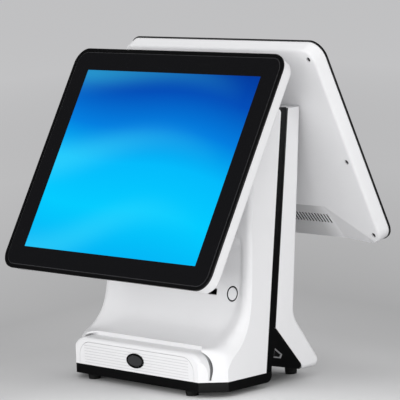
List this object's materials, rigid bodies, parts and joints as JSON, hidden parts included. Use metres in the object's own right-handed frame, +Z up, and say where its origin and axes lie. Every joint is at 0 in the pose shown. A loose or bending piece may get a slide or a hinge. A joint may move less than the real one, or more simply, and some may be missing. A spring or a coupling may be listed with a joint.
{
  "type": "dual screen point of sale terminal",
  "caption": "Counter touch terminal with an operator screen and a rear customer screen, each tilting on a leaning neck over a wide base.",
  "frame": {"origin": "on the counter, under the middle of the part's bounding box", "axes": "+Z up, -Y towards the operator, +Y towards the customer, +X to the operator's right"},
  "size_m": [0.366, 0.3104, 0.3944],
  "materials": {
    "white_plastic": "fine satin moulded",
    "white_gloss": "smooth",
    "black_plastic": "satin moulded",
    "gloss_black": "glossy",
    "button_grey": "satin",
    "screen_glass": "polished",
    "lcd_black": "satin panel",
    "zinc_steel": "zinc-plated sheet",
    "hinge_steel": "black painted",
    "pin_steel": "turned",
    "zinc_screws": "plated",
    "dark_screws": "black oxide",
    "board_green": "solder mask",
    "heatsink_alu": "extruded",
    "drive_case": "satin",
    "port_metal": "nickel-plated",
    "foot_rubber": "matt"
  },
  "bodies": {
    "stand": {"base_tray": "black_plastic", "rubber_feet": "foot_rubber", "ballast_plate": "zinc_steel", "front_shell": "white_plastic", "spine_frame": "black_plastic", "rear_shell": "white_plastic", "leg_cheek_right": "black_plastic", "leg_cheek_left": "black_plastic", "front_cover": "white_plastic", "front_door": "white_plastic", "latch_bezel": "gloss_black", "power_switch_housing": "gloss_black", "front_port": "port_metal", "front_io_board": "board_green", "neck_mast": "zinc_steel", "main_board": "board_green", "cpu_heatsink": "heatsink_alu", "storage_drive": "drive_case", "io_panel": "zinc_steel", "io_connectors": "port_metal", "power_board": "board_green", "speaker": "black_plastic", "operator_hinge_brackets": "hinge_steel", "operator_bracket_screws": "zinc_screws", "operator_hinge_pins": "pin_steel", "customer_hinge_brackets": "hinge_steel", "customer_bracket_screws": "zinc_screws", "customer_hinge_pins": "pin_steel"},
    "operator_display": {"operator_touch_glass": "screen_glass", "operator_bezel_frame": "black_plastic", "operator_lcd_panel": "lcd_black", "operator_chassis": "hinge_steel", "operator_back_housing": "white_plastic", "operator_housing_screws": "dark_screws", "operator_control_board": "board_green", "operator_hinge_leaves": "hinge_steel", "operator_leaf_screws": "zinc_screws"},
    "customer_display": {"customer_touch_glass": "screen_glass", "customer_bezel_frame": "black_plastic", "customer_lcd_panel": "lcd_black", "customer_chassis": "hinge_steel", "customer_back_housing": "white_plastic", "customer_housing_screws": "dark_screws", "customer_control_board": "board_green", "customer_hinge_leaves": "hinge_steel", "customer_leaf_screws": "zinc_screws"},
    "latch_button": {"latch_button": "button_grey"},
    "power_button": {"power_button": "white_gloss"}
  },
  "joints": [
    {"name": "operator_tilt", "type": "hinge", "parent": "stand", "child": "operator_display", "pos_m": [0, -0.0369, 0.28456], "axis": [1, 0, 0], "range_deg": [-10, 15]},
    {"name": "customer_tilt", "type": "hinge", "parent": "stand", "child": "customer_display", "pos_m": [0, 0.0663, 0.27351], "axis": [-1, 0, 0], "range_deg": [0, 12]},
    {"name": "latch_press", "type": "slide", "parent": "stand", "child": "latch_button", "axis": [0, 1, 0], "range_m": [0, 0.0015], "stiffness_N_per_m": 600, "springref_m": -0.001},
    {"name": "power_press", "type": "slide", "parent": "stand", "child": "power_button", "axis": [0, 0.9816, -0.1908], "range_m": [0, 0.0013], "stiffness_N_per_m": 600, "springref_m": -0.001}
  ]
}
